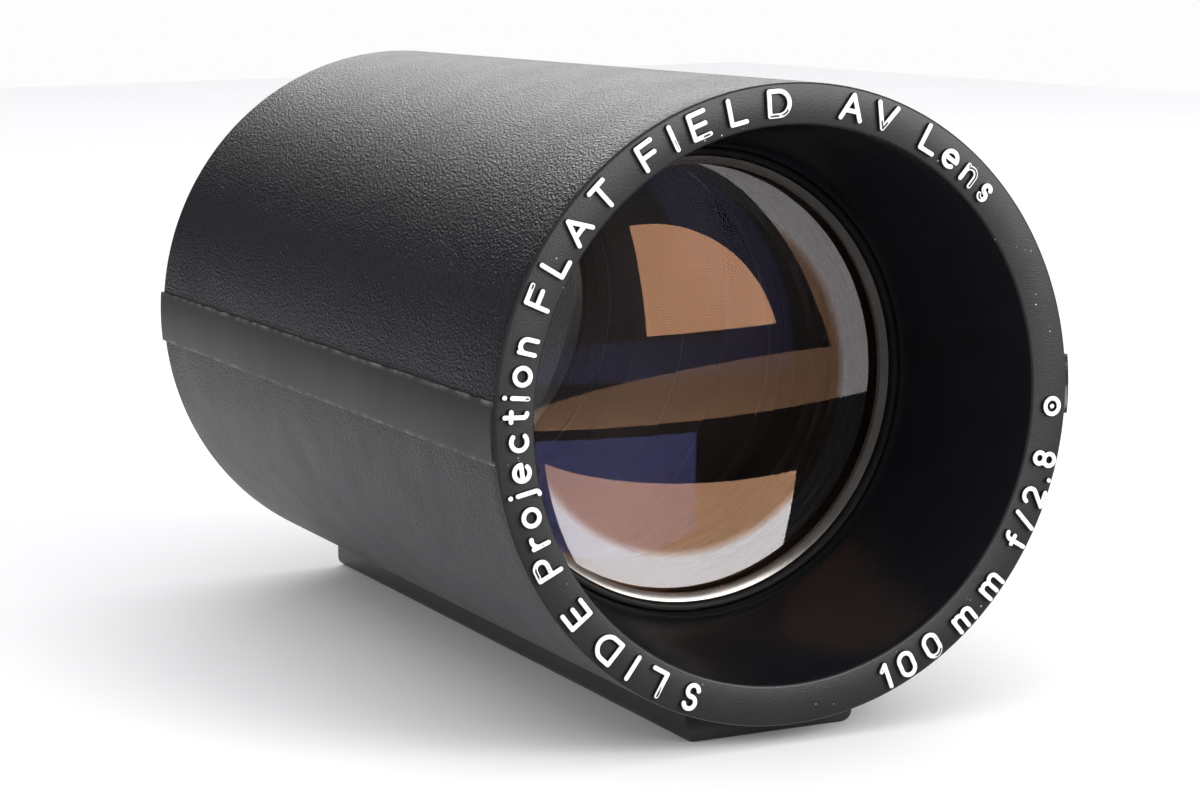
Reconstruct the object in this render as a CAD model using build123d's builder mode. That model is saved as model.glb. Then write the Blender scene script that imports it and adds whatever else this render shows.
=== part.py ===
from build123d import *
import os
from math import atan2, cos, degrees, hypot, pi, radians, sin, sqrt, tan

# Projection lens of a slide projector: a fixed-focus lens in a plain moulded barrel.
# Millimetres. The optical axis runs along +Y through the origin, which is the centre of
# the barrel's front face. +Y points to the rear (towards the slide), +Z is up and +X is
# to the right for someone looking at the front glass. Depth means distance along +Y.

# ---- barrel -------------------------------------------------------------------------
barrel_r = 26.2            # outside radius of the barrel (2 1/16 in diameter)
barrel_length = 86.0
bore_r = 23.6              # inside radius behind the hood
front_chamfer = 0.25
rear_chamfer = 0.6
hood_mouth_r = 22.8        # hood opening, so the front ring face is 3.4 mm wide
hood_throat_r = 20.5       # hood radius where it meets the lens cell
hood_depth = 16.2
hood_edge_fillet = 0.2
hood_foot_in, hood_foot_back = 0.12, 0.45   # bulge of the hood's rounded foot from its throat
lip_r = 20.1               # hole in the hood's floor that the cell's nose passes through
lip_front_y = 16.9
shoulder_y = 19.0          # back of the hood's floor, where the cell's flange seats

# ---- guide bands at 9 and 3 o'clock --------------------------------------------------
band_width = 5.0
band_proud = 0.4
band_front_y = 0.2

# ---- focus rail and its rack, along the bottom ---------------------------------------
rail_width = 15.8
rail_bottom_z = -27.85
rail_front_y = 4.2
rail_corner = 0.9
rack_width = 8.0
rack_module = 0.8
rack_front_y = 12.0
rack_rear_margin = 3.0
rack_root_z = -26.6
rack_pitch = pi * rack_module
pressure_angle = 20.0

# ---- glass, as radius of curvature and axial thickness, front to rear ------------------
l1_vertex_y = 14.6
l1_front_R, l1_thick, l1_r = 46.0, 7.1, 19.3
gap_12 = 13.0
l2_front_R, l2_rear_R, l2_thick, l2_r = 110.0, 33.2, 2.6, 15.7
l2_clear_r = 14.6
gap_23 = 13.0
l3_front_R, cement_R, l3_thick, l4_rear_R, l4_thick = 75.7, 62.4, 2.6, 63.7, 7.8
doublet_r = 15.6
doublet_clear_r = 14.7
cement_gap = 0.02
edge_bevel = 0.15

# ---- lens cell -------------------------------------------------------------------------
nose_front_y = 17.0
nose_r = 20.0
nose_bore_r = 19.4
flange_r = 23.45
flange_thick = 2.6
cell_r = 21.4
cell_rear_y = 63.0
cell_bore_r = 15.8
l1_seat_r = 17.9
nose_rim_fillet = 0.22
cell_rear_chamfer = 0.3
baffle_land = 1.2          # plain length at each end of the baffle steps
baffle_steps = 6

# ---- rings ------------------------------------------------------------------------------
front_ring_clear_r = 18.6
front_ring_r = 19.3
front_ring_y = 17.6
glass_play = 0.04          # between the ring and the glass
front_ring_bevel = 0.35    # how far its sloping face falls back towards the glass
lock_ring_r = 23.5
lock_ring_bore_r = 21.6
lock_ring_thick = 3.6
spanner_slot_width = 2.0
spanner_slot_depth = 1.2
spacer_r = 15.7
stop_r = 10.6
stop_y = 44.0
stop_thick = 0.4
cushion_thick = 0.6
rear_ring_thick = 2.8

# ---- raised lettering on the front ring face ---------------------------------------------
letter_height = 0.45       # how far the characters stand in front of the ring face
stroke = 0.46
cap = 1.95                 # capital height between stroke centres
legend_r = 24.6            # radius through the middle of the capitals


def sag(radius, r):
    """Depth of a spherical surface of the given radius at height r above the axis."""
    return radius - sqrt(radius**2 - r**2)


l1_back_y = l1_vertex_y + l1_thick
l2_front_y = l1_back_y + gap_12
l2_rear_y = l2_front_y + l2_thick
l2_front_flat_y = l2_front_y - sag(l2_front_R, l2_clear_r)
l2_rear_flat_y = l2_rear_y + sag(l2_rear_R, l2_clear_r)
l3_front_y = l2_rear_y + gap_23
cement_y = l3_front_y + l3_thick
l4_rear_y = cement_y + l4_thick
l3_flat_y = l3_front_y + sag(l3_front_R, doublet_clear_r)
l4_flat_y = l4_rear_y - sag(l4_rear_R, doublet_clear_r)
spacer_bore_r = l2_clear_r + 0.2

os.makedirs("parts", exist_ok=True)

# All turned pieces are drawn as half sections in this plane (x = radius, y = depth) and
# revolved about the optical axis.
half_section = Plane.XY


# ==== barrel =================================================================================
with BuildPart() as barrel:
    with BuildSketch(half_section):
        with BuildLine():
            # outside with its broken edges, bore, shoulder and lip
            Polyline(
                (hood_mouth_r + hood_edge_fillet, 0),
                (barrel_r - front_chamfer, 0),
                (barrel_r, front_chamfer),
                (barrel_r, barrel_length - rear_chamfer),
                (barrel_r - rear_chamfer, barrel_length),
                (bore_r, barrel_length),
                (bore_r, shoulder_y),
                (lip_r, shoulder_y),
                (lip_r, lip_front_y),
            )
            # rounded foot of the hood, its tapered wall and its rounded mouth
            ThreePointArc(
                (lip_r, lip_front_y),
                (hood_throat_r - hood_foot_in, hood_depth + hood_foot_back),
                (hood_throat_r, hood_depth),
            )
            Line((hood_throat_r, hood_depth), (hood_mouth_r, hood_edge_fillet))
            ThreePointArc(
                (hood_mouth_r, hood_edge_fillet),
                (hood_mouth_r + 0.3 * hood_edge_fillet, 0.3 * hood_edge_fillet),
                (hood_mouth_r + hood_edge_fillet, 0),
            )
        make_face()
    revolve(axis=Axis.Y)

    # smooth guide bands, one on each side
    with BuildSketch(Plane.XZ.offset(-band_front_y)):
        Circle(barrel_r + band_proud)
        Rectangle(2 * (barrel_r + band_proud), band_width, mode=Mode.INTERSECT)
        Circle(barrel_r - 1, mode=Mode.SUBTRACT)
    extrude(amount=-(barrel_length - band_front_y))

    # focus rail under the barrel, its lower corners rounded
    with BuildSketch(Plane.XZ.offset(-rail_front_y)):
        with BuildLine():
            Polyline(
                (-rail_width / 2, -bore_r - 0.5),
                (-rail_width / 2, rail_bottom_z),
                (rail_width / 2, rail_bottom_z),
                (rail_width / 2, -bore_r - 0.5),
                close=True,
            )
        make_face()
        fillet(vertices().group_by(Axis.Y)[0], rail_corner)
        Circle(barrel_r - 1, mode=Mode.SUBTRACT)
    extrude(amount=-(barrel_length - rail_front_y))

    # rack: a row of tooth gaps cut across the middle of the rail
    tooth_depth = rack_root_z - rail_bottom_z
    gap_width_at_tip = rack_pitch / 2 + tooth_depth * tan(radians(pressure_angle))
    gap_count = int((barrel_length - rack_rear_margin - rack_front_y) / rack_pitch)
    gap_centres = [(rack_front_y + (i + 0.5) * rack_pitch, rail_bottom_z) for i in range(gap_count)]
    with BuildSketch(Plane.YZ.offset(-rack_width / 2)):
        with Locations(gap_centres):
            Trapezoid(
                gap_width_at_tip, tooth_depth, 90 - pressure_angle, align=(Align.CENTER, Align.MIN)
            )
    extrude(amount=rack_width, mode=Mode.SUBTRACT)
barrel.part.label = "barrel"
export_step(barrel.part, "parts/barrel.step")


# ==== raised characters ======================================================================
# Each character is a list of round-ended strokes in units of the capital height: straight
# strokes are chains of points, round ones are ("arc", centre x, centre y, radius, start
# angle, sweep). The first entry is the character's width.
characters = {
    "A": (0.92, [[(0, 0), (0.46, 1), (0.92, 0)], [(0.17, 0.34), (0.75, 0.34)]]),
    "D": (0.92, [[(0.42, 0), (0, 0), (0, 1), (0.42, 1)], ("arc", 0.42, 0.5, 0.5, -90, 180)]),
    "E": (0.72, [[(0.72, 0), (0, 0), (0, 1), (0.72, 1)], [(0, 0.5), (0.64, 0.5)]]),
    "F": (0.72, [[(0, 0), (0, 1), (0.72, 1)], [(0, 0.5), (0.64, 0.5)]]),
    "I": (0.0, [[(0, 0), (0, 1)]]),
    "L": (0.66, [[(0, 1), (0, 0), (0.66, 0)]]),
    "P": (0.72, [[(0, 0), (0, 1), (0.44, 1)], ("arc", 0.44, 0.72, 0.28, -90, 180),
                 [(0.44, 0.44), (0, 0.44)]]),
    "S": (0.70, [("arc", 0.36, 0.74, 0.26, 20, 250), ("arc", 0.36, 0.25, 0.25, -165, 255)]),
    "T": (0.80, [[(0, 1), (0.8, 1)], [(0.4, 1), (0.4, 0)]]),
    "V": (0.92, [[(0, 1), (0.46, 0), (0.92, 1)]]),
    "r": (0.34, [[(0, 0), (0, 0.68)], ("arc", 0.3, 0.36, 0.3, 70, 110)]),
    "o": (0.68, [("arc", 0.34, 0.34, 0.34, 0, 180), ("arc", 0.34, 0.34, 0.34, 180, 180)]),
    "j": (0.12, [[(0.12, 0.68), (0.12, -0.1)], ("arc", -0.03, -0.1, 0.15, -90, 90),
                 [(0.12, 1.0), (0.12, 1.01)]]),
    "e": (0.66, [[(0, 0.34), (0.66, 0.34)], ("arc", 0.33, 0.34, 0.33, 0, 310)]),
    "c": (0.58, [("arc", 0.34, 0.34, 0.34, 50, 260)]),
    "t": (0.42, [[(0.18, 0.95), (0.18, 0.16)], [(0, 0.68), (0.4, 0.68)],
                 ("arc", 0.34, 0.16, 0.16, 180, 90)]),
    "i": (0.0, [[(0, 0), (0, 0.68)], [(0, 1.0), (0, 1.01)]]),
    "n": (0.56, [[(0, 0), (0, 0.68)], ("arc", 0.28, 0.4, 0.28, 0, 180), [(0.56, 0.4), (0.56, 0)]]),
    "s": (0.46, [("arc", 0.24, 0.51, 0.17, 20, 250), ("arc", 0.24, 0.17, 0.17, -165, 255)]),
    "m": (0.92, [[(0, 0), (0, 0.68)], ("arc", 0.23, 0.45, 0.23, 0, 180), [(0.46, 0.45), (0.46, 0)],
                 ("arc", 0.69, 0.45, 0.23, 0, 180), [(0.92, 0.45), (0.92, 0)]]),
    "f": (0.44, [[(0.16, 0), (0.16, 0.78)], [(0, 0.62), (0.38, 0.62)],
                 ("arc", 0.38, 0.78, 0.22, 90, 90)]),
    "/": (0.40, [[(0, 0), (0.4, 1)]]),
    "1": (0.22, [[(0, 0.78), (0.22, 1), (0.22, 0)]]),
    "0": (0.64, [("arc", 0.32, 0.68, 0.32, 0, 180), [(0, 0.68), (0, 0.32)],
                 ("arc", 0.32, 0.32, 0.32, 180, 180), [(0.64, 0.32), (0.64, 0.68)]]),
    "2": (0.64, [("arc", 0.32, 0.7, 0.3, -35, 195), [(0.565, 0.53), (0.02, 0), (0.64, 0)]]),
    "8": (0.62, [("arc", 0.31, 0.75, 0.24, -90, 180), ("arc", 0.31, 0.75, 0.24, 90, 180),
                 ("arc", 0.31, 0.26, 0.26, -90, 180), ("arc", 0.31, 0.26, 0.26, 90, 180)]),
    ".": (0.0, [[(0, 0), (0, 0.01)]]),
    # plain index mark: a small ring round a dot
    "*": (0.68, [("arc", 0.34, 0.5, 0.34, 0, 180), ("arc", 0.34, 0.5, 0.34, 180, 180),
                 [(0.34, 0.5), (0.34, 0.51)]]),
}

# Words round the ring: text, angle of its first and last character (anticlockwise from +X,
# seen from the front) and whether the tops of the letters point outward.
words = [
    ("SLIDE", -113, -143, True),
    ("Projection", -154, -196, True),
    ("FLAT", 155, 133, True),
    ("FIELD", 121.5, 93, True),
    ("AV", 77.5, 70, True),
    ("Lens", 59, 43, True),
    ("100", -70, -58.5, False),
    ("mm", -50, -41.5, False),
    ("f/2.8", -31.5, -14.5, False),
    ("*", -4, -4, False),
]


def word_angles(text, first, last):
    """Angles of the characters' centres, spaced by their own widths."""
    widths = [characters[letter][0] for letter in text]
    steps = [(a + b) / 2 + 0.42 for a, b in zip(widths, widths[1:])]
    span = sum(steps) or 1
    return [first + (last - first) * sum(steps[:i]) / span for i in range(len(text))]


with BuildPart() as legend:
    for text, first, last, tops_outward in words:
        for letter, angle in zip(text, word_angles(text, first, last)):
            width, strokes = characters[letter]
            turn = angle - 90 if tops_outward else angle + 90
            centre = (legend_r * cos(radians(angle)), legend_r * sin(radians(angle)))
            # the character's own plane lies on the ring face, facing the viewer
            face_plane = Plane.XZ * Location((*centre, 0), (0, 0, turn))
            with BuildSketch(face_plane * Location((-width / 2 * cap, -cap / 2, 0))):
                for shape in strokes:
                    if shape[0] == "arc":
                        _, cx, cy, radius, start, sweep = shape
                        centre_plane = Plane((cx * cap, cy * cap, 0))
                        arc = Edge.make_circle(radius * cap, centre_plane, start, start + sweep)
                        SlotArc(arc, stroke)
                        continue
                    for (x0, y0), (x1, y1) in zip(shape, shape[1:]):
                        dx, dy = (x1 - x0) * cap, (y1 - y0) * cap
                        with Locations(((x0 + x1) / 2 * cap, (y0 + y1) / 2 * cap)):
                            SlotCenterToCenter(
                                hypot(dx, dy), stroke, rotation=degrees(atan2(dy, dx))
                            )
            extrude(amount=letter_height)
legend.part.label = "legend"
export_step(legend.part, "parts/legend.step")


# ==== lens cell ==============================================================================
with BuildPart() as lens_cell:
    with BuildSketch(half_section):
        # inside surface from L1's seat to L2's seat falls in steps that break up stray light
        step_y = (l2_front_flat_y - l1_back_y - 2 * baffle_land) / baffle_steps
        step_r = (l1_seat_r - l2_clear_r) / baffle_steps
        stairs = []
        for i in range(baffle_steps):
            y = l1_back_y + baffle_land + i * step_y
            stairs += [(l1_seat_r - i * step_r, y), (l1_seat_r - (i + 1) * step_r, y)]
        with BuildLine():
            Polyline(
                (nose_bore_r, nose_front_y),
                (nose_r, nose_front_y),
                (nose_r, shoulder_y),
                (flange_r, shoulder_y),
                (flange_r, shoulder_y + flange_thick),
                (cell_r, shoulder_y + flange_thick),
                (cell_r, cell_rear_y),
                (cell_bore_r, cell_rear_y),
                (cell_bore_r, l2_front_flat_y),
                (l2_clear_r, l2_front_flat_y),
                *reversed(stairs),
                (l1_seat_r, l1_back_y),
                (nose_bore_r, l1_back_y),
                close=True,
            )
        make_face()
    revolve(axis=Axis.Y)
    rims = lens_cell.part.edges().filter_by(GeomType.CIRCLE).group_by(Axis.Y)
    fillet(rims[0], nose_rim_fillet)
    chamfer(rims[-1], cell_rear_chamfer)
lens_cell.part.label = "lens_cell"
export_step(lens_cell.part, "parts/lens_cell.step")


# ==== rings that hold the glass ==============================================================
# Front ring: inside the nose, with a sloping front face; its rear face is just clear of the glass.
glass_at_ring_y = l1_vertex_y + sag(l1_front_R, front_ring_r)
glass_at_clear_y = l1_vertex_y + sag(l1_front_R, front_ring_clear_r)
with BuildPart() as front_retaining_ring:
    with BuildSketch(half_section):
        with BuildLine():
            Polyline(
                (front_ring_r, front_ring_y),
                (front_ring_r, glass_at_ring_y - glass_play),
                (front_ring_clear_r, glass_at_clear_y - glass_play),
                (front_ring_clear_r, front_ring_y + front_ring_bevel),
                close=True,
            )
        make_face()
    revolve(axis=Axis.Y)
front_retaining_ring.part.label = "front_retaining_ring"
export_step(front_retaining_ring.part, "parts/front_retaining_ring.step")

# Lock ring: screwed into the barrel behind the cell's flange, with two spanner slots.
with BuildPart() as cell_lock_ring:
    with BuildSketch(Plane.XZ.offset(-(shoulder_y + flange_thick))):
        Circle(lock_ring_r)
        Circle(lock_ring_bore_r, mode=Mode.SUBTRACT)
    extrude(amount=-lock_ring_thick)
    with BuildSketch(Plane.XZ.offset(-(shoulder_y + flange_thick + lock_ring_thick))):
        Rectangle(2 * barrel_r, spanner_slot_width)
    extrude(amount=spanner_slot_depth, mode=Mode.SUBTRACT)
cell_lock_ring.part.label = "cell_lock_ring"
export_step(cell_lock_ring.part, "parts/cell_lock_ring.step")

# Spacer tubes either side of the stop.
with BuildPart() as stop_spacer_front:
    with BuildSketch(Plane.XZ.offset(-l2_rear_flat_y)):
        Circle(spacer_r)
        Circle(spacer_bore_r, mode=Mode.SUBTRACT)
    extrude(amount=-(stop_y - l2_rear_flat_y))
    chamfer(stop_spacer_front.part.edges().filter_by(GeomType.CIRCLE), edge_bevel)
stop_spacer_front.part.label = "stop_spacer_front"
export_step(stop_spacer_front.part, "parts/stop_spacer_front.step")

with BuildPart() as stop_spacer_rear:
    with BuildSketch(Plane.XZ.offset(-(stop_y + stop_thick))):
        Circle(spacer_r)
        Circle(spacer_bore_r, mode=Mode.SUBTRACT)
    extrude(amount=-(l3_flat_y - stop_y - stop_thick))
    chamfer(stop_spacer_rear.part.edges().filter_by(GeomType.CIRCLE), edge_bevel)
stop_spacer_rear.part.label = "stop_spacer_rear"
export_step(stop_spacer_rear.part, "parts/stop_spacer_rear.step")

# Stop: a thin plate whose hole sets the lens's f-number.
with BuildPart() as aperture_stop:
    with BuildSketch(Plane.XZ.offset(-stop_y)):
        Circle(spacer_r)
        Circle(stop_r, mode=Mode.SUBTRACT)
    extrude(amount=-stop_thick)
aperture_stop.part.label = "aperture_stop"
export_step(aperture_stop.part, "parts/aperture_stop.step")

# Rubber cushion between the rear glass and its ring.
with BuildPart() as rear_cushion_ring:
    with BuildSketch(Plane.XZ.offset(-l4_flat_y)):
        Circle(doublet_r - edge_bevel)
        Circle(doublet_clear_r, mode=Mode.SUBTRACT)
    extrude(amount=-cushion_thick)
rear_cushion_ring.part.label = "rear_cushion_ring"
export_step(rear_cushion_ring.part, "parts/rear_cushion_ring.step")

# Rear ring: screwed into the back of the cell, with two spanner slots.
rear_ring_y = l4_flat_y + cushion_thick
with BuildPart() as rear_retaining_ring:
    with BuildSketch(Plane.XZ.offset(-rear_ring_y)):
        Circle(spacer_r)
        Circle(doublet_clear_r - 0.5, mode=Mode.SUBTRACT)
    extrude(amount=-rear_ring_thick)
    inner_rim = rear_retaining_ring.part.edges().filter_by(GeomType.CIRCLE).group_by(Axis.Y)[-1]
    chamfer(inner_rim.sort_by(SortBy.RADIUS)[0], 0.6)
    with BuildSketch(Plane.XZ.offset(-(rear_ring_y + rear_ring_thick))):
        Rectangle(2 * cell_r, spanner_slot_width)
    extrude(amount=spanner_slot_depth, mode=Mode.SUBTRACT)
rear_retaining_ring.part.label = "rear_retaining_ring"
export_step(rear_retaining_ring.part, "parts/rear_retaining_ring.step")


# ==== glass ==================================================================================
# L1: front element, domed in front and flat behind.
with BuildPart() as front_element:
    with BuildSketch(half_section):
        edge_y = l1_vertex_y + sag(l1_front_R, l1_r)
        with BuildLine():
            RadiusArc((0, l1_vertex_y), (l1_r, edge_y), -l1_front_R)
            Polyline((l1_r, edge_y), (l1_r, l1_back_y), (0, l1_back_y), (0, l1_vertex_y))
        make_face()
    revolve(axis=Axis.Y)
    chamfer(front_element.part.edges().filter_by(GeomType.CIRCLE).group_by(Axis.Y)[-1], edge_bevel)
front_element.part.label = "front_element"
export_step(front_element.part, "parts/front_element.step")

# L2: hollow on both faces, with a flat seat round each.
with BuildPart() as negative_element:
    with BuildSketch(half_section):
        with BuildLine():
            RadiusArc((0, l2_front_y), (l2_clear_r, l2_front_flat_y), l2_front_R)
            Polyline(
                (l2_clear_r, l2_front_flat_y),
                (l2_r, l2_front_flat_y),
                (l2_r, l2_rear_flat_y),
                (l2_clear_r, l2_rear_flat_y),
            )
            RadiusArc((l2_clear_r, l2_rear_flat_y), (0, l2_rear_y), l2_rear_R)
            Line((0, l2_rear_y), (0, l2_front_y))
        make_face()
    revolve(axis=Axis.Y)
negative_element.part.label = "negative_element"
export_step(negative_element.part, "parts/negative_element.step")

# L3 and L4: the cemented pair behind the stop.
with BuildPart() as doublet_flint:
    with BuildSketch(half_section):
        rear_edge_y = cement_y + sag(cement_R, doublet_r)
        with BuildLine():
            RadiusArc((0, l3_front_y), (doublet_clear_r, l3_flat_y), -l3_front_R)
            Polyline(
                (doublet_clear_r, l3_flat_y), (doublet_r, l3_flat_y), (doublet_r, rear_edge_y)
            )
            RadiusArc((doublet_r, rear_edge_y), (0, cement_y), cement_R)
            Line((0, cement_y), (0, l3_front_y))
        make_face()
    revolve(axis=Axis.Y)
doublet_flint.part.label = "doublet_flint"
export_step(doublet_flint.part, "parts/doublet_flint.step")

with BuildPart() as doublet_crown:
    with BuildSketch(half_section):
        front_y = cement_y + cement_gap
        front_edge_y = front_y + sag(cement_R, doublet_r)
        with BuildLine():
            RadiusArc((0, front_y), (doublet_r, front_edge_y), -cement_R)
            Polyline(
                (doublet_r, front_edge_y), (doublet_r, l4_flat_y), (doublet_clear_r, l4_flat_y)
            )
            RadiusArc((doublet_clear_r, l4_flat_y), (0, l4_rear_y), -l4_rear_R)
            Line((0, l4_rear_y), (0, front_y))
        make_face()
    revolve(axis=Axis.Y)
doublet_crown.part.label = "doublet_crown"
export_step(doublet_crown.part, "parts/doublet_crown.step")
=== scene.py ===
import math

import bmesh
import bpy
from mathutils import Matrix, Vector


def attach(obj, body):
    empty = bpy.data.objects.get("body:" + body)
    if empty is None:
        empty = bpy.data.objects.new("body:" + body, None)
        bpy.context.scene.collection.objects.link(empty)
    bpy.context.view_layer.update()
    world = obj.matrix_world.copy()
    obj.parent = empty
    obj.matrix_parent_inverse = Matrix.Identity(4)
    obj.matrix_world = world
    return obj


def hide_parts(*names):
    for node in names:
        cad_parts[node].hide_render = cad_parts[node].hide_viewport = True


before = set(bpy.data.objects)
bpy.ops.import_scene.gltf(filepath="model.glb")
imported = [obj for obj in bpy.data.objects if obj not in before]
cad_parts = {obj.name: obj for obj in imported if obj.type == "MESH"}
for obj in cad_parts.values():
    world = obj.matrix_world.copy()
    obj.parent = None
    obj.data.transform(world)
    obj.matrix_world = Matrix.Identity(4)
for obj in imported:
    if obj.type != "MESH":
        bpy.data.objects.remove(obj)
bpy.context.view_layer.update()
MM = 0.001

# ---- camera at the photograph's angle (millimetres) --------------------------------------
AZ, EL, ROLL = math.radians(-25.08), math.radians(8.76), math.radians(-0.83)
TARGET, DIST = Vector((-3.14, 30.0, -3.11)), 271.46
IMAGE_WIDTH, FOCAL_PIXELS, SENSOR = 1200, 3046.6, 36
back = Vector((math.sin(AZ) * math.cos(EL), -math.cos(AZ) * math.cos(EL), math.sin(EL)))
right = (-back).cross(Vector((0, 0, 1))).normalized()
up = right.cross(-back)
cam_x = math.cos(ROLL) * right + math.sin(ROLL) * up
cam_y = -math.sin(ROLL) * right + math.cos(ROLL) * up
eye = (TARGET + back * DIST) * MM
cam = bpy.data.objects.new("camera", bpy.data.cameras.new("camera"))
bpy.context.scene.collection.objects.link(cam)
cam.matrix_world = Matrix((
    (cam_x.x, cam_y.x, back.x, eye.x),
    (cam_x.y, cam_y.y, back.y, eye.y),
    (cam_x.z, cam_y.z, back.z, eye.z),
    (0, 0, 0, 1)))
cam.data.sensor_width = SENSOR
cam.data.lens = FOCAL_PIXELS / IMAGE_WIDTH * SENSOR
cam.data.clip_start = 0.01
bpy.context.scene.camera = cam


# ---- mesh helpers ---------------------------------------------------------------------------
def add_object(name, bm, materials):
    """Turns a bmesh into a smooth-shaded object with the given materials."""
    me = bpy.data.meshes.new(name)
    bm.normal_update()
    bm.to_mesh(me)
    bm.free()
    ob = bpy.data.objects.new(name, me)
    bpy.context.scene.collection.objects.link(ob)
    for m in materials:
        me.materials.append(m)
    for p in me.polygons:
        p.use_smooth = True
    return ob


def split_sharp(ob, degrees=32):
    """Keeps crisp edges crisp on a smooth-shaded piece."""
    mod = ob.modifiers.new("edges", "EDGE_SPLIT")
    mod.split_angle = math.radians(degrees)
    return ob


def revolve(bm, profile, segments, slots=None):
    """Turns a closed outline of (radius, depth) points in mm about the optical axis; slots
    gives each run's material."""
    rings = []
    for i in range(segments):
        a = math.radians(360.0 * i / segments)
        rings.append([bm.verts.new((r * math.cos(a) * MM, y * MM, r * math.sin(a) * MM))
                      for r, y in profile])
    for i in range(segments):
        p, q = rings[i], rings[(i + 1) % segments]
        for k in range(len(profile)):
            l = (k + 1) % len(profile)
            f = bm.faces.new((p[k], p[l], q[l], q[k]))
            f.material_index = slots[k] if slots else 0


def skin(bm, rows):
    """Joins rows of points into one closed-ended strip."""
    for a, b in zip(rows, rows[1:]):
        for k in range(len(a) - 1):
            bm.faces.new((a[k], a[k + 1], b[k + 1], b[k]))
    for row in (rows[0], rows[-1]):
        bm.faces.new(row)


# ---- node helpers ---------------------------------------------------------------------------
class Nodes:
    """One material's node tree, with short calls for the nodes that the materials share."""

    def __init__(self, name):
        self.mat = bpy.data.materials.new(name)
        self.mat.use_nodes = True
        self.t = self.mat.node_tree
        self.t.nodes.clear()
        self.out = self.add("ShaderNodeOutputMaterial")
        self.pos = self.add("ShaderNodeTexCoord").outputs["Object"]

    def add(self, kind, **settings):
        node = self.t.nodes.new(kind)
        for k, v in settings.items():
            setattr(node, k, v)
        return node

    def link(self, a, b):
        self.t.links.new(a, b)

    def feed(self, socket, value):
        """Sets a number or a colour on the socket itself and links anything else."""
        if isinstance(value, tuple):
            socket.default_value = (*value, 1)
        elif isinstance(value, (int, float)):
            socket.default_value = value
        else:
            self.link(value, socket)

    def noise(self, scale, detail=3.0, rough=0.55, vector=None, kind="noise"):
        """Plain noise, or a cell pattern when kind names a Voronoi feature."""
        if kind == "noise":
            n = self.add("ShaderNodeTexNoise")
            n.inputs["Detail"].default_value = detail
            n.inputs["Roughness"].default_value = rough
            out = n.outputs[0]
        else:
            n = self.add("ShaderNodeTexVoronoi", feature=kind)
            out = n.outputs["Distance"]
        n.inputs["Scale"].default_value = scale
        self.link(vector or self.pos, n.inputs["Vector"])
        return out

    def ramp(self, fac, stops):
        """stops are (position, grey or colour) pairs."""
        r = self.add("ShaderNodeValToRGB")
        e = r.color_ramp.elements
        while len(e) < len(stops):
            e.new(0.5)
        for el, (p, c) in zip(e, stops):
            el.position = p
            el.color = (*c, 1) if isinstance(c, tuple) else (c, c, c, 1)
        self.link(fac, r.inputs[0])
        return r.outputs[0]

    def math(self, op, a, b=None, clamp=False):
        m = self.add("ShaderNodeMath", operation=op, use_clamp=clamp)
        for i, v in enumerate((a, b)):
            if v is not None:
                self.feed(m.inputs[i], v)
        return m.outputs[0]

    def mix(self, fac, a, b):
        m = self.add("ShaderNodeMix", data_type="RGBA")
        self.link(fac, m.inputs[0])
        for key, v in (("A", a), ("B", b)):
            self.feed([i for i in m.inputs if i.name == key and i.type == "RGBA"][0], v)
        return [o for o in m.outputs if o.type == "RGBA"][0]

    def split(self):
        """The x, y and z of the point being shaded."""
        xyz = self.add("ShaderNodeSeparateXYZ")
        self.link(self.pos, xyz.inputs[0])
        return xyz.outputs

    def bump(self, height, strength, distance):
        b = self.add("ShaderNodeBump")
        b.inputs["Strength"].default_value = strength
        b.inputs["Distance"].default_value = distance
        self.link(height, b.inputs["Height"])
        return b.outputs[0]

    def principled(self, color, rough, normal=None, spec=0.5, metallic=0.0):
        p = self.add("ShaderNodeBsdfPrincipled")
        self.feed(p.inputs["Base Color"], color)
        self.feed(p.inputs["Roughness"], rough)
        if normal:
            self.link(normal, p.inputs["Normal"])
        p.inputs["Specular IOR Level"].default_value = spec
        p.inputs["Metallic"].default_value = metallic
        self.link(p.outputs[0], self.out.inputs["Surface"])


# ---- materials -------------------------------------------------------------------------------
# Noise scales are per metre, so 4900 is a grain of about 0.2 mm.
def dust(n, base, scale, amount):
    """Scattered pale specks on a dark surface."""
    cells = n.noise(scale, kind="F1")
    sparse = n.ramp(n.noise(scale * 0.13, 2), [(0.5, 0.0), (0.62, 1.0)])
    size = n.math("MULTIPLY", n.ramp(n.noise(scale * 0.8, 1), [(0.35, 0.2), (0.65, 1.0)]), amount)
    speck = n.math("MULTIPLY", n.math("LESS_THAN", cells, size), sparse)
    return n.mix(speck, base, (0.62, 0.58, 0.5))


def grain_plastic():
    """Leather-like moulded grain: rounded cells with finer and broader noise over them."""
    n = Nodes("grained_plastic")
    cells = n.noise(4900, kind="SMOOTH_F1")
    fine = n.noise(10500, 2)
    swirl = n.noise(1900, 2)
    height = n.math("ADD", n.math("MULTIPLY", cells, 0.8), n.math("MULTIPLY", fine, 0.3))
    height = n.math("ADD", height, n.math("MULTIPLY", swirl, 0.35))
    tone = n.ramp(n.noise(60, 3),
                  [(0.3, (0.0095, 0.0075, 0.0115)), (0.7, (0.0125, 0.0105, 0.0145))])
    tone = dust(n, tone, 700, 0.022)
    rough = n.ramp(n.noise(160, 3), [(0.3, 0.39), (0.7, 0.45)])
    n.principled(tone, rough, n.bump(height, 1.0, 0.00014), spec=0.42)
    return n.mat


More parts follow.
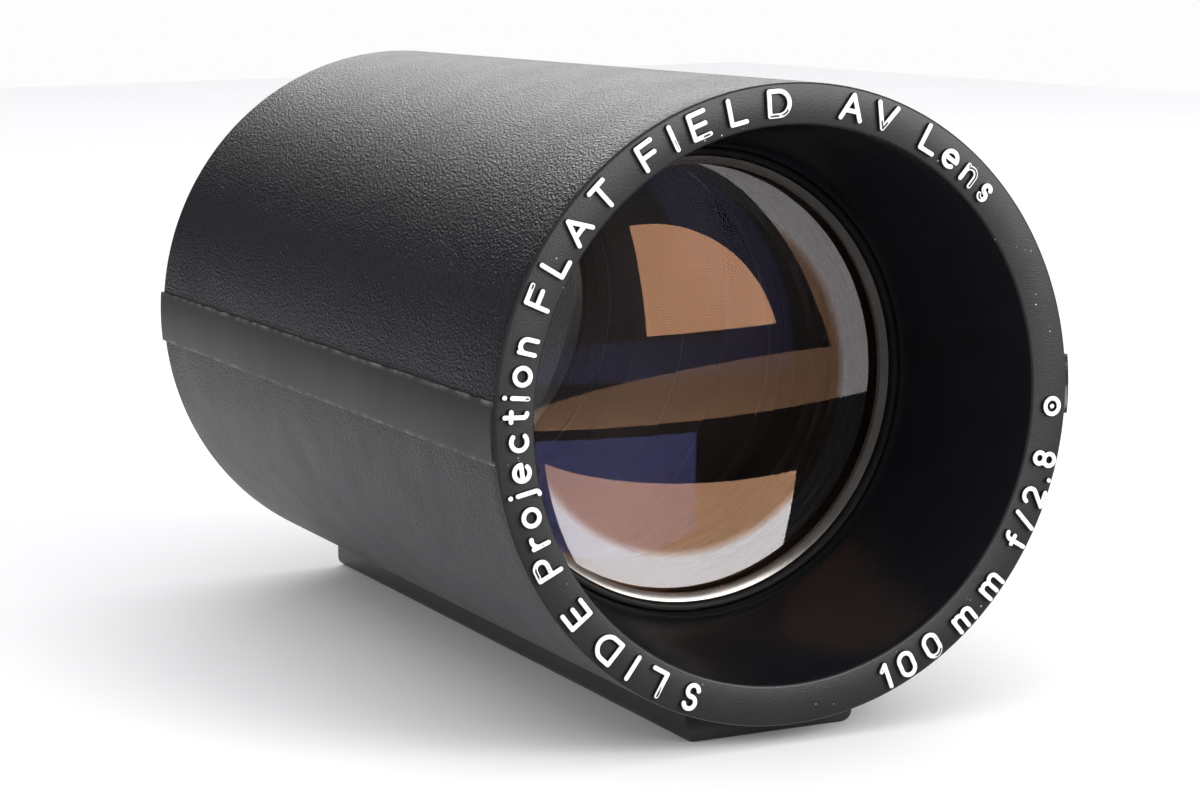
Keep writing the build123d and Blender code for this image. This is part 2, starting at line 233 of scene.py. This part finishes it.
def satin_plastic(name, tone, rough_lo, rough_hi, dusty, bump=0.12):
    """Smooth black plastic with a faint texture; dusty is the size of its specks."""
    n = Nodes(name)
    col = n.ramp(n.noise(160, 3), [(0.3, tone * 0.94), (0.7, tone * 1.06)])
    col = dust(n, col, 1500, dusty)
    rough = n.ramp(n.noise(120, 3), [(0.3, rough_lo), (0.7, rough_hi)])
    fine = n.noise(6500, 2)
    n.principled(col, rough, n.bump(fine, bump, 0.00004), spec=0.5)
    return n.mat


def band_plastic():
    """Smooth moulded strip: even satin, a few specks, dust caught along its two edges."""
    n = Nodes("band_plastic")
    rim = n.add("ShaderNodeAttribute", attribute_name="rim").outputs["Fac"]
    caught = n.math("MULTIPLY", rim, n.ramp(n.noise(420, 4, 0.65), [(0.45, 0.0), (0.6, 1.0)]))
    col = n.ramp(n.noise(90, 3),
                 [(0.3, (0.0085, 0.0075, 0.0095)), (0.7, (0.0105, 0.0095, 0.0115))])
    col = dust(n, col, 900, 0.035)
    rough = n.ramp(n.noise(70, 3), [(0.3, 0.4), (0.7, 0.45)])
    n.principled(n.mix(caught, col, (0.17, 0.16, 0.14)), rough,
                 n.bump(n.noise(5200, 2), 0.2, 0.00003), spec=0.34)
    return n.mat


def gloss_black(name, tone, rough, spec, metallic=0.0, tint=(1.0, 1.1, 1.35)):
    """Smooth shiny finish with a slight long wave in it."""
    n = Nodes(name)
    full = tuple(tone * c for c in tint)
    col = n.ramp(n.noise(200, 3), [(0.3, tuple(0.78 * c for c in full)), (0.7, full)])
    r = n.ramp(n.noise(300, 4), [(0.3, rough * 0.85), (0.7, rough * 1.2)])
    n.principled(col, r, n.bump(n.noise(60, 2), 0.08, 0.0006), spec=spec, metallic=metallic)
    return n.mat


def paint_white():
    """White paint, worn through and pitted here and there along the crest of each stroke."""
    n = Nodes("legend_white")
    core = n.add("ShaderNodeAttribute", attribute_name="core").outputs["Fac"]
    worn = n.ramp(n.noise(330, 2), [(0.60, 0.0), (0.63, 1.0)])
    pit = n.math("LESS_THAN", n.noise(1700, kind="F1"), 0.10)
    gone = n.math("MULTIPLY", n.math("MAXIMUM", worn, pit), n.math("GREATER_THAN", core, 0.62))
    white = n.ramp(n.noise(800, 3), [(0.3, (0.80, 0.80, 0.78)), (0.7, (0.90, 0.90, 0.89))])
    n.principled(n.mix(gone, white, (0.03, 0.03, 0.03)), 0.42,
                 n.bump(n.noise(3000, 2), 0.15, 0.00005))
    return n.mat


def blackened_metal():
    """Matt black metal with fine turning marks."""
    n = Nodes("blackened_metal")
    wave = n.add("ShaderNodeTexWave", wave_type="BANDS", bands_direction="Y")
    wave.inputs["Scale"].default_value = 900
    wave.inputs["Distortion"].default_value = 0.6
    n.link(n.pos, wave.inputs["Vector"])
    col = n.ramp(n.noise(120, 3), [(0.3, 0.007), (0.7, 0.012)])
    n.principled(col, n.ramp(n.noise(260, 3), [(0.3, 0.5), (0.7, 0.62)]),
                 n.bump(wave.outputs[1], 0.2, 0.00003), spec=0.3)
    return n.mat


def coated_glass(name, tint, strength, ior=1.62, outer=None, dusty=0.0):
    """Clear glass whose coating colours and weakens the mirror image. outer = (radius in mm,
    tint, strength) gives the coating a thinner zone near the rim; dusty adds a thin film of
    dust in drawn-out wisps."""
    n = Nodes(name)
    refr = n.add("ShaderNodeBsdfRefraction")
    refr.inputs["IOR"].default_value = ior
    refr.inputs["Roughness"].default_value = 0.0
    refr.inputs["Color"].default_value = (0.98, 0.98, 0.97, 1)
    glos = n.add("ShaderNodeBsdfGlossy")
    glos.inputs["Roughness"].default_value = 0.0
    fres = n.add("ShaderNodeFresnel")
    fres.inputs["IOR"].default_value = ior
    haze = n.ramp(n.noise(70, 3), [(0.3, strength * 0.93), (0.7, strength * 1.07)])
    if outer:
        edge, tint2, strength2 = outer
        x, _, z = n.split()
        radius = n.math("SQRT", n.math("ADD", n.math("MULTIPLY", x, x), n.math("MULTIPLY", z, z)))
        # the ramp runs over radii of 0 to 25 mm
        zone = n.ramp(n.math("MULTIPLY", radius, 1 / (25 * MM)),
                      [((edge - 0.5) / 25, 0.0), ((edge + 0.4) / 25, 1.0)])
        n.link(n.mix(zone, tint, tint2), glos.inputs["Color"])
        thin = n.ramp(n.noise(50, 3), [(0.3, strength2 * 0.92), (0.7, strength2 * 1.08)])
        haze = n.mix(zone, haze, thin)
    else:
        glos.inputs["Color"].default_value = (*tint, 1)
    fac = n.math("MULTIPLY", fres.outputs[0], haze, clamp=True)
    mix = n.add("ShaderNodeMixShader")
    n.link(fac, mix.inputs[0])
    n.link(refr.outputs[0], mix.inputs[1])
    n.link(glos.outputs[0], mix.inputs[2])
    shown = mix.outputs[0]
    if dusty:
        film = n.add("ShaderNodeBsdfDiffuse")
        film.inputs["Color"].default_value = (0.78, 0.74, 0.76, 1)
        turn = n.add("ShaderNodeMapping")
        turn.inputs["Rotation"].default_value = (0.0, 0.5, 0.0)
        turn.inputs["Scale"].default_value = (95.0, 30.0, 26.0)
        n.link(n.pos, turn.inputs["Vector"])
        wisps = n.ramp(n.noise(1.0, 3, 0.5, turn.outputs[0]),
                       [(0.38, 0.35), (0.55, 0.6), (0.66, 1.0)])
        x, _, z = n.split()
        side = n.math("MULTIPLY", n.math("SUBTRACT", z, x), 18.0)
        spread = n.ramp(n.math("ADD", side, 0.5), [(0.3, 0.12), (0.8, 1.0)])
        over = n.add("ShaderNodeMixShader")
        n.link(n.math("MULTIPLY", n.math("MULTIPLY", wisps, spread), dusty), over.inputs[0])
        n.link(shown, over.inputs[1])
        n.link(film.outputs[0], over.inputs[2])
        shown = over.outputs[0]
    n.link(shown, n.out.inputs["Surface"])
    return n.mat


GRAIN = grain_plastic()
RING = satin_plastic("ring_face_plastic", 0.021, 0.34, 0.42, 0.11, 0.6)
BAND = band_plastic()
RAIL = satin_plastic("rail_plastic", 0.012, 0.36, 0.44, 0.03)
HOOD = gloss_black("hood_plastic", 0.0085, 0.16, 0.14)
BEAD = gloss_black("bead_satin", 0.4, 0.24, 0.8, 0.85, (1.0, 0.93, 0.86))
WHITE = paint_white()
SIDE = satin_plastic("legend_side", 0.012, 0.4, 0.5, 0.0)
METAL = blackened_metal()
RUBBER = satin_plastic("black_rubber", 0.02, 0.6, 0.75, 0.0)
COAT_FRONT = coated_glass("coating_front", (1.0, 0.5, 0.27), 0.92, dusty=0.034)
COAT_L1_BACK = coated_glass("coating_l1_back", (1.0, 0.55, 0.32), 1.0,
                            outer=(14.8, (0.99, 0.94, 0.97), 2.0))
COAT_VIOLET = coated_glass("coating_violet", (0.3, 0.33, 1.0), 0.26)
COAT_WEAK = coated_glass("coating_weak", (0.9, 0.75, 1.0), 0.06)
CEMENT = coated_glass("cemented_face", (1.0, 1.0, 1.0), 0.03)
GLASS_EDGE = satin_plastic("glass_edge_black", 0.012, 0.5, 0.6, 0.0)

# ---- barrel -----------------------------------------------------------------------------------
R, LEN = 26.2, 86.0                          # the tube's radius and length
MOUTH_R, BORE_R, THROAT_R = 23.0, 23.6, 20.1
FRONT_EDGE, REAR_EDGE = 0.24, 0.6            # depth of the rounded front edge and the rear bevel
FLOOR_FRONT, FLOOR_BACK = 16.9, 19.0         # the hood's floor, which carries the cell
HOOD_R0, HOOD_R1, HOOD_Y0, HOOD_Y1 = 20.5, 22.8, 16.2, 0.2
bm = bmesh.new()
outside = [(MOUTH_R, 0.0), (25.95, 0.0), (26.05, 0.03), (26.14, 0.1), (R, FRONT_EDGE)]
outside += [(R, FRONT_EDGE + i * (LEN - FRONT_EDGE - REAR_EDGE) / 60) for i in range(1, 61)]
outside += [(25.95, LEN - 0.25), (R - REAR_EDGE, LEN), (BORE_R, LEN), (BORE_R, FLOOR_BACK)]
outside += [(THROAT_R, FLOOR_BACK), (THROAT_R, FLOOR_FRONT)]
throat = [(20.12, FLOOR_FRONT), (20.2, 16.83), (20.34, 16.68), (20.44, 16.48), (HOOD_R0, HOOD_Y0)]
wall = [(HOOD_R0 + (HOOD_R1 - HOOD_R0) * i / 24, HOOD_Y0 - (HOOD_Y0 - HOOD_Y1) * i / 24)
        for i in range(1, 25)]
mouth = [(22.83, 0.1), (22.9, 0.03)]
profile = outside + throat + wall + mouth
slots = []
for k in range(len(profile)):
    r0, y0 = profile[k]
    r1, y1 = profile[(k + 1) % len(profile)]
    ym = (y0 + y1) / 2
    if k < 4 or ym < 0.16:
        slots.append(0)                      # ring face and both its edges
    elif r0 > 26.1 and r1 > 26.1:
        slots.append(1)                      # grained tube
    elif ym > 17:
        slots.append(2)                      # rear rim and bore
    else:
        slots.append(3)                      # hood
revolve(bm, profile, 320, slots)
bmesh.ops.recalc_face_normals(bm, faces=bm.faces)
barrel = split_sharp(add_object("barrel_moulding", bm, [RING, GRAIN, RAIL, HOOD]))
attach(barrel, "root")
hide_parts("barrel")


def band(name, side, top):
    """Smooth guide band: a shallow raised strip with crisp edges that hold a little dust."""
    bm = bmesh.new()
    rim = bm.verts.layers.float.new("rim")
    half, y0, y1, edge, ends = 2.5, 0.25, 85.9, 0.09, 0.05
    # (height across the strip, radius, share of dust)
    cross = [(-half, R - 0.3, 0.0), (-half, top - edge, 1.0), (-half + edge, top, 0.6)]
    cross += [(-half + edge + (2 * half - 2 * edge) * i / 14, top, 0.0) for i in range(1, 14)]
    cross += [(half - edge, top, 0.6), (half, top - edge, 1.0), (half, R - 0.3, 0.0)]
    ys = [y0, y0 + ends] + [y0 + ends + (y1 - y0 - 2 * ends) * i / 20 for i in range(1, 20)]
    ys += [y1 - ends, y1]
    rows = []
    for j, y in enumerate(ys):
        drop = ends if j in (0, len(ys) - 1) else 0.0
        row = []
        for z, rad, dust_here in cross:
            rad = min(rad, top - drop)
            a = z / R
            v = bm.verts.new((side * rad * math.cos(a) * MM, y * MM, rad * math.sin(a) * MM))
            v[rim] = dust_here
            row.append(v)
        rows.append(row)
    skin(bm, rows)
    bmesh.ops.recalc_face_normals(bm, faces=bm.faces)
    ob = split_sharp(add_object(name, bm, [BAND]), 30)
    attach(ob, "root")


band("guide_band_left", -1, R + 0.2)
band("guide_band_right", 1, R + 0.38)

# focus rail, with a slot across its middle that holds the rack's teeth
bm = bmesh.new()
half, bottom, root, y0, y1, rc = 7.9, -27.85, -26.6, 4.2, LEN, 0.9
RACK_Y, PITCH, GAPS, RACK_HALF = 12.0, math.pi * 0.8, 28, 4.0
FLANK = (root - bottom) * math.tan(math.radians(20))     # how far a tooth's flank leans
TIP_GAP = PITCH / 2 + FLANK
TIP_HALF = (PITCH - TIP_GAP) / 2
slot0 = RACK_Y + TIP_HALF
slot1 = RACK_Y + GAPS * PITCH - TIP_HALF
side = [(half, -24.7)]                                   # just inside the tube
side += [(half - rc + rc * math.cos(math.radians(t)), bottom + rc - rc * math.sin(math.radians(t)))
         for t in range(0, 91, 15)]
side += [(RACK_HALF, bottom), (RACK_HALF, None)]         # None: bottom, or root inside the slot
cross = [(-x, z) for x, z in side] + side[::-1]
span = slot1 - slot0
# (depth along the rail, inset of the edges, 1 where the slot is cut)
steps = [(y0, 0.3, 0), (y0 + 0.12, 0.09, 0), (y0 + 0.35, 0.0, 0), (slot0, 0.0, 0)]
steps += [(slot0 + span * i / 12, 0.0, 1) for i in range(13)]
steps += [(slot1, 0.0, 0), (y1 - 0.15, 0.0, 0), (y1, 0.12, 0)]
rows = []
for y, inset, cut in steps:
    row = []
    for x, z in cross:
        z = (root if cut else bottom) if z is None else z
        row.append(bm.verts.new(((x - math.copysign(inset, x)) * MM, y * MM,
                                 (z + (inset if z < -26.5 else 0)) * MM)))
    rows.append(row)
skin(bm, rows)
bmesh.ops.remove_doubles(bm, verts=bm.verts, dist=1e-7)
for i in range(GAPS - 1):
    middle = RACK_Y + (i + 1) * PITCH
    tip, foot, edge = TIP_HALF, TIP_HALF + FLANK, 0.08
    outline = [(middle - foot, root + 0.01), (middle - tip, bottom + edge),
               (middle - tip + edge, bottom), (middle + tip - edge, bottom),
               (middle + tip, bottom + edge), (middle + foot, root + 0.01)]
    ends = [[bm.verts.new((x * MM, y * MM, z * MM)) for y, z in outline]
            for x in (-RACK_HALF, RACK_HALF)]
    for k in range(len(outline)):
        l = (k + 1) % len(outline)
        bm.faces.new((ends[0][k], ends[0][l], ends[1][l], ends[1][k]))
    bm.faces.new(ends[0])
    bm.faces.new(ends[1])
bmesh.ops.recalc_face_normals(bm, faces=bm.faces)
rail = split_sharp(add_object("focus_rail", bm, [RAIL]), 30)
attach(rail, "root")

# ---- CAD nodes that stay, with their own materials ---------------------------------------------
def dress(node, mat):
    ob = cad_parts[node]
    ob.data.materials.clear()
    ob.data.materials.append(mat)


for node in ("lens_cell", "stop_spacer_front", "aperture_stop", "stop_spacer_rear",
             "cell_lock_ring", "rear_retaining_ring"):
    dress(node, METAL)
dress("rear_cushion_ring", RUBBER)


# front ring: its sloping face catches the light below the glass
bm = bmesh.new()
revolve(bm, [(18.6, 18.48), (18.6, 18.02), (18.61, 17.97), (18.65, 17.92), (19.2, 17.66),
             (19.26, 17.63), (19.29, 17.64), (19.3, 17.7), (19.3, 18.78)], 256)
bmesh.ops.recalc_face_normals(bm, faces=bm.faces)
bead = split_sharp(add_object("front_bead_ring", bm, [BEAD]), 40)
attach(bead, "root")
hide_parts("front_retaining_ring")

# ---- the four glasses, finely turned so that their mirror images stay clean ----------------------
def face_depth(face, r):
    """Depth of a face at radius r; face = (vertex depth, radius of curvature, clear radius)."""
    vertex, curve, clear = face
    if not curve:
        return vertex
    r = min(r, clear)
    return vertex + math.copysign(abs(curve) - math.sqrt(curve * curve - r * r), curve)


def lens(name, node, front, rear, outer, mats):
    """One turned glass; mats are its front face, rear face and blackened edge."""
    bm = bmesh.new()
    steps, segments, bevel = 56, 224, 0.15

    def radii(face):
        clear = min(face[2], outer - bevel)
        out = [clear * (i + 1) / steps for i in range(steps)]
        return out + ([outer - bevel] if clear < outer - bevel - 0.01 else [])
    fr, rr = radii(front), radii(rear)
    profile = [(r, face_depth(front, r), 0) for r in fr]
    profile += [(outer, face_depth(front, fr[-1]) + bevel, 2),
                (outer, face_depth(rear, rr[-1]) - bevel, 2)]
    profile += [(r, face_depth(rear, r), 1) for r in reversed(rr)]
    rings = [[bm.verts.new((r * math.cos(2 * math.pi * i / segments) * MM, y * MM,
                            r * math.sin(2 * math.pi * i / segments) * MM)) for i in range(segments)]
             for r, y, _ in profile]
    tips = [bm.verts.new((0, face[0] * MM, 0)) for face in (front, rear)]
    for i in range(segments):
        j = (i + 1) % segments
        for k in range(len(profile) - 1):
            f = bm.faces.new((rings[k][i], rings[k][j], rings[k + 1][j], rings[k + 1][i]))
            first, second = profile[k][2], profile[k + 1][2]
            f.material_index = first if first == second else 2
        bm.faces.new((tips[0], rings[0][j], rings[0][i])).material_index = 0
        bm.faces.new((tips[1], rings[-1][i], rings[-1][j])).material_index = 1
    bmesh.ops.recalc_face_normals(bm, faces=bm.faces)
    ob = split_sharp(add_object(name, bm, mats), 20)
    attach(ob, "root")
    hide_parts(node)


lens("front_glass", "front_element", (14.6, 46.0, 19.3), (21.7, None, 19.15), 19.3,
     [COAT_FRONT, COAT_L1_BACK, GLASS_EDGE])
lens("negative_glass", "negative_element", (34.7, -110.0, 14.6), (37.3, 33.2, 14.6),
     15.7, [COAT_VIOLET, COAT_WEAK, GLASS_EDGE])
lens("flint_glass", "doublet_flint", (50.3, 75.7, 14.7), (52.9, 62.4, 15.6), 15.6,
     [COAT_WEAK, CEMENT, GLASS_EDGE])
lens("crown_glass", "doublet_crown", (52.92, 62.4, 15.6), (60.7, -63.7, 14.7), 15.6,
     [CEMENT, COAT_WEAK, GLASS_EDGE])

# ---- raised lettering -----------------------------------------------------------------------------
# Strokes in units of the capital height: chains of points, or ("arc", x, y, radius, start, sweep).
CHARS = {
    "A": (0.92, [[(0, 0), (0.46, 1), (0.92, 0)], [(0.17, 0.34), (0.75, 0.34)]]),
    "D": (0.92, [[(0.42, 0), (0, 0), (0, 1), (0.42, 1)], ("arc", 0.42, 0.5, 0.5, -90, 180)]),
    "E": (0.72, [[(0.72, 0), (0, 0), (0, 1), (0.72, 1)], [(0, 0.5), (0.64, 0.5)]]),
    "F": (0.72, [[(0, 0), (0, 1), (0.72, 1)], [(0, 0.5), (0.64, 0.5)]]),
    "I": (0.0, [[(0, 0), (0, 1)]]),
    "L": (0.66, [[(0, 1), (0, 0), (0.66, 0)]]),
    "P": (0.72, [[(0, 0), (0, 1), (0.44, 1)], ("arc", 0.44, 0.72, 0.28, -90, 180),
                 [(0.44, 0.44), (0, 0.44)]]),
    "S": (0.70, [("arc", 0.36, 0.74, 0.26, 20, 250), ("arc", 0.36, 0.25, 0.25, -165, 255)]),
    "T": (0.80, [[(0, 1), (0.8, 1)], [(0.4, 1), (0.4, 0)]]),
    "V": (0.92, [[(0, 1), (0.46, 0), (0.92, 1)]]),
    "r": (0.34, [[(0, 0), (0, 0.68)], ("arc", 0.3, 0.36, 0.3, 70, 110)]),
    "o": (0.68, [("arc", 0.34, 0.34, 0.34, 0, 360)]),
    "j": (0.12, [[(0.12, 0.68), (0.12, -0.1)], ("arc", -0.03, -0.1, 0.15, -90, 90),
                 [(0.12, 1.0), (0.12, 1.01)]]),
    "e": (0.66, [[(0, 0.34), (0.66, 0.34)], ("arc", 0.33, 0.34, 0.33, 0, 310)]),
    "c": (0.58, [("arc", 0.34, 0.34, 0.34, 50, 260)]),
    "t": (0.42, [[(0.18, 0.95), (0.18, 0.16)], [(0, 0.68), (0.4, 0.68)],
                 ("arc", 0.34, 0.16, 0.16, 180, 90)]),
    "i": (0.0, [[(0, 0), (0, 0.68)], [(0, 1.0), (0, 1.01)]]),
    "n": (0.56, [[(0, 0), (0, 0.68)], ("arc", 0.28, 0.4, 0.28, 0, 180), [(0.56, 0.4), (0.56, 0)]]),
    "s": (0.46, [("arc", 0.24, 0.51, 0.17, 20, 250), ("arc", 0.24, 0.17, 0.17, -165, 255)]),
    "m": (0.92, [[(0, 0), (0, 0.68)], ("arc", 0.23, 0.45, 0.23, 0, 180), [(0.46, 0.45), (0.46, 0)],
                 ("arc", 0.69, 0.45, 0.23, 0, 180), [(0.92, 0.45), (0.92, 0)]]),
    "f": (0.44, [[(0.16, 0), (0.16, 0.78)], [(0, 0.62), (0.38, 0.62)],
                 ("arc", 0.38, 0.78, 0.22, 90, 90)]),
    "/": (0.40, [[(0, 0), (0.4, 1)]]),
    "1": (0.22, [[(0, 0.78), (0.22, 1), (0.22, 0)]]),
    "0": (0.64, [("arc", 0.32, 0.68, 0.32, 0, 180), [(0, 0.68), (0, 0.32)],
                 ("arc", 0.32, 0.32, 0.32, 180, 180), [(0.64, 0.32), (0.64, 0.68)]]),
    "2": (0.64, [("arc", 0.32, 0.7, 0.3, -35, 195), [(0.565, 0.53), (0.02, 0), (0.64, 0)]]),
    "8": (0.62, [("arc", 0.31, 0.75, 0.24, 0, 360), ("arc", 0.31, 0.26, 0.26, 0, 360)]),
    ".": (0.0, [[(0, 0), (0, 0.01)]]),
    "*": (0.68, [("arc", 0.34, 0.5, 0.34, 0, 360), [(0.34, 0.5), (0.34, 0.51)]]),
}
# (word, first and last letter's angle in degrees, whether its tops point outwards)
WORDS = [
    ("SLIDE", -113, -143, True), ("Projection", -154, -196, True), ("FLAT", 155, 133, True),
    ("FIELD", 121.5, 93, True), ("AV", 77.5, 70, True), ("Lens", 59, 43, True),
    ("100", -70, -58.5, False), ("mm", -50, -41.5, False), ("f/2.8", -31.5, -14.5, False),
    ("*", -4, -4, False),
]
CAP, LEGEND_R, SPACE = 1.95, 24.6, 0.42      # capital height, row radius, gap in capitals
# (half width, height above the ring, share of the way to the middle): black flank, white top
SECTION = [(0.23, 0.0, 0.0), (0.19, 0.33, 0.0), (0.176, 0.385, 0.15), (0.148, 0.41, 0.3),
           (0.095, 0.43, 0.6), (0.0, 0.44, 1.0)]


def arc_path(shape):
    _, cx, cy, r, start, sweep = shape
    n = max(6, int(abs(sweep) / 9))
    return [(cx + r * math.cos(math.radians(start + sweep * i / n)),
             cy + r * math.sin(math.radians(start + sweep * i / n))) for i in range(n + 1)]


def ridge(bm, layer, path, place):
    """A round-ended raised stroke along a path; place turns (x, y, height) into the row frame."""
    closed = len(path) > 3 and math.dist(path[0], path[-1]) < 1e-6
    if closed:
        path = path[:-1]
    n = len(path)

    def direction(i, j):
        dx, dy = path[j % n][0] - path[i % n][0], path[j % n][1] - path[i % n][1]
        l = math.hypot(dx, dy) or 1
        return dx / l, dy / l

    def side(indices, sign):                      # (centre point, outward direction) pairs
        pts = []
        for i in indices:
            if closed:
                d = direction(i - 1, i + 1)
            else:
                d = direction(max(i - 1, 0), min(i + 1, n - 1))
            pts.append((path[i], (-d[1] * sign, d[0] * sign)))
        return pts

    if closed:
        loops = [side(range(n), 1), side(range(n), -1)]
    else:
        d0, d1 = direction(n - 2, n - 1), direction(1, 0)
        left, right = side(range(n), 1), side(range(n - 1, -1, -1), -1)

        def cap_round(p, d):
            a = math.atan2(d[1], d[0])
            return [(p, (math.cos(a + math.radians(t)), math.sin(a + math.radians(t))))
                    for t in range(75, -76, -15)]
        loops = [left + cap_round(path[-1], d0) + right + cap_round(path[0], d1)]
    for pts in loops:
        m = len(pts)
        rings = []
        for half, h, core in SECTION:
            ring = []
            for p, d in pts:
                v = bm.verts.new(place(p[0] * CAP + d[0] * half, p[1] * CAP + d[1] * half, h))
                v[layer] = core
                ring.append(v)
            rings.append(ring)
        for k in range(len(SECTION) - 1):
            for i in range(m):
                j = (i + 1) % m
                f = bm.faces.new((rings[k][i], rings[k][j], rings[k + 1][j], rings[k + 1][i]))
                f.material_index = 0 if k == 0 else 1


def straight_runs(chain):
    """A straight chain is cut at its corners, so that every run has its own round ends."""
    return [list(pair) for pair in zip(chain, chain[1:])]


bm = bmesh.new()
core_layer = bm.verts.layers.float.new("core")
for text, first, last, outward in WORDS:
    widths = [CHARS[c][0] for c in text]
    gaps = [(a + b) / 2 + SPACE for a, b in zip(widths, widths[1:])]
    for i, c in enumerate(text):
        ang = math.radians(first + (last - first) * sum(gaps[:i]) / (sum(gaps) or 1))
        w, strokes = CHARS[c]
        rot = ang - math.pi / 2 if outward else ang + math.pi / 2
        cx, cz = LEGEND_R * math.cos(ang), LEGEND_R * math.sin(ang)

        def place(x, y, h, w=w, rot=rot, cx=cx, cz=cz):
            x, y = x - w * CAP / 2, y - CAP / 2
            return ((cx + x * math.cos(rot) - y * math.sin(rot)) * MM, (-h) * MM,
                    (cz + x * math.sin(rot) + y * math.cos(rot)) * MM)
        for shape in strokes:
            for path in ([arc_path(shape)] if shape[0] == "arc" else straight_runs(shape)):
                ridge(bm, core_layer, path, place)
bmesh.ops.remove_doubles(bm, verts=bm.verts, dist=1e-8)
bmesh.ops.recalc_face_normals(bm, faces=bm.faces)
legend = split_sharp(add_object("raised_legend", bm, [SIDE, WHITE]), 45)
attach(legend, "root")
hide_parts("legend")

# ---- stage and light -----------------------------------------------------------------------------
FLOOR_TONE, FLOOR_Z, TILE = 0.93, -27.85 * MM, 0.1


def stage_material():
    n = Nodes("studio_white")
    n.principled(n.ramp(n.noise(9, 3), [(0.3, FLOOR_TONE * 0.985), (0.7, FLOOR_TONE)]), 0.75,
                 spec=0.2)
    return n.mat


def sheet(name, x0, x1, y0, y1, mat, mirrored, through):
    """Part of the floor; the dark room round it hides some parts from mirror images."""
    bm = bmesh.new()
    nx, ny = max(1, round((x1 - x0) / TILE)), max(1, round((y1 - y0) / TILE))
    grid = [[bm.verts.new((x0 + (x1 - x0) * i / nx, y0 + (y1 - y0) * j / ny, FLOOR_Z))
             for i in range(nx + 1)] for j in range(ny + 1)]
    for a, b in zip(grid, grid[1:]):
        for k in range(nx):
            bm.faces.new((a[k], a[k + 1], b[k + 1], b[k]))
    ob = add_object(name, bm, [mat])
    ob.visible_glossy = mirrored
    ob.visible_transmission = through


FLOOR = stage_material()
X0, X1, Y0, Y1 = -0.6, 0.6, 0.0, 1.15        # the floor's sides, and its near and far parts
LEFT_X, NEAR_X, NEAR_Y, FRONT_Y = -0.11, 0.026, -0.135, -0.34
sheet("studio_floor", LEFT_X, X1, Y0, Y1, FLOOR, True, False)
sheet("studio_floor_left", X0, LEFT_X, Y0, Y1, FLOOR, False, False)
sheet("studio_floor_near_left", X0, NEAR_X, NEAR_Y, Y0, FLOOR, False, True)
sheet("studio_floor_near_right", NEAR_X, X1, NEAR_Y, Y0, FLOOR, False, False)
sheet("studio_floor_front", X0, X1, FRONT_Y, NEAR_Y, FLOOR, False, True)


def area(name, loc, aim, size, power, size_y, mirrored=True, through=True, lights=True):
    """A soft panel. mirrored, through and lights say whether mirror images show it, whether it
    is seen through the front glass, and whether it lights matt surfaces."""
    li = bpy.data.lights.new(name, "AREA")
    li.shape = "RECTANGLE"
    li.size, li.size_y = size, size_y
    li.energy = power
    ob = bpy.data.objects.new(name, li)
    bpy.context.scene.collection.objects.link(ob)
    ob.location = loc
    ob.rotation_euler = (Vector(aim) - Vector(loc)).to_track_quat("-Z", "Y").to_euler()
    ob.visible_glossy = mirrored
    ob.visible_transmission = through
    ob.visible_diffuse = lights


area("softbox_front_right", (0.37, -0.45, 0.245), (0.37, 0.5, 0.245), 0.56, 4.6, size_y=0.43)
area("overhead", (0.0, 0.6, 1.1), (0, 0.6, 0), 2.0, 7.4, size_y=3.0, mirrored=False, through=False)
area("left_fill", (-0.5, -0.08, 0.13), (0, 0.03, -0.02), 0.5, 0.9, size_y=0.22, mirrored=False,
     through=False)
area("back_panel", (0.38, 1.0, 0.72), (0, 0.05, 0.0), 0.92, 11.5, size_y=0.6, through=False,
     lights=False)

# World: a dark room in mirror images, a soft fill for matt surfaces, pale straight from the camera.
world = bpy.data.worlds.new("studio")
bpy.context.scene.world = world
world.use_nodes = True
wt = world.node_tree
rays = wt.nodes.new("ShaderNodeLightPath")


def glow(node, color, strength):
    node.inputs[0].default_value = (*color, 1)
    node.inputs[1].default_value = strength
    return node


room = glow(wt.nodes["Background"], (0.85, 0.92, 1.0), 0.05)
pale = glow(wt.nodes.new("ShaderNodeBackground"), (0.985, 0.98, 0.985), 1.0)
soft = glow(wt.nodes.new("ShaderNodeBackground"), (0.99, 0.97, 1.0), 0.84)


def world_mix(flag, a, b):
    m = wt.nodes.new("ShaderNodeMixShader")
    wt.links.new(rays.outputs[flag], m.inputs[0])
    wt.links.new(a.outputs[0], m.inputs[1])
    wt.links.new(b.outputs[0], m.inputs[2])
    return m


both = world_mix("Is Camera Ray", world_mix("Is Diffuse Ray", room, soft), pale)
wt.links.new(both.outputs[0], wt.nodes["World Output"].inputs["Surface"])
bpy.context.scene.view_settings.view_transform = "Standard"
